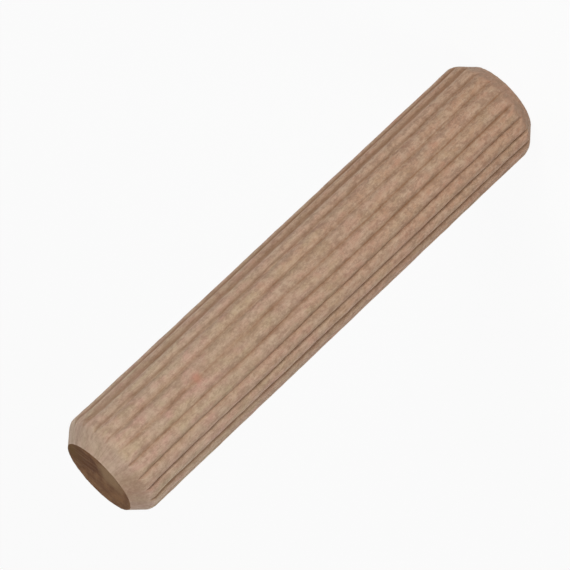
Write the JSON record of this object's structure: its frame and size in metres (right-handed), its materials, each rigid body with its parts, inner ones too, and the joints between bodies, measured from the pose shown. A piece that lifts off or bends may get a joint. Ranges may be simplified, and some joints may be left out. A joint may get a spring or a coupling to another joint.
{
  "type": "wooden dowel pin",
  "caption": "Straight wooden dowel pin with longitudinal glue flutes all round and a rounded chamfer at each end, standing on one end.",
  "frame": {"origin": "middle of the bottom end face, on the pin's axis", "axes": "+Z along the pin's axis from the bottom end face to the top one; X and Y are free, and +X passes through the middle of a flute"},
  "size_m": [0.0081, 0.008, 0.04],
  "materials": {
    "beech": "bare steamed beech, cut and turned, unsanded"
  },
  "bodies": {
    "root": {"dowel_pin": "beech"}
  },
  "joints": []
}
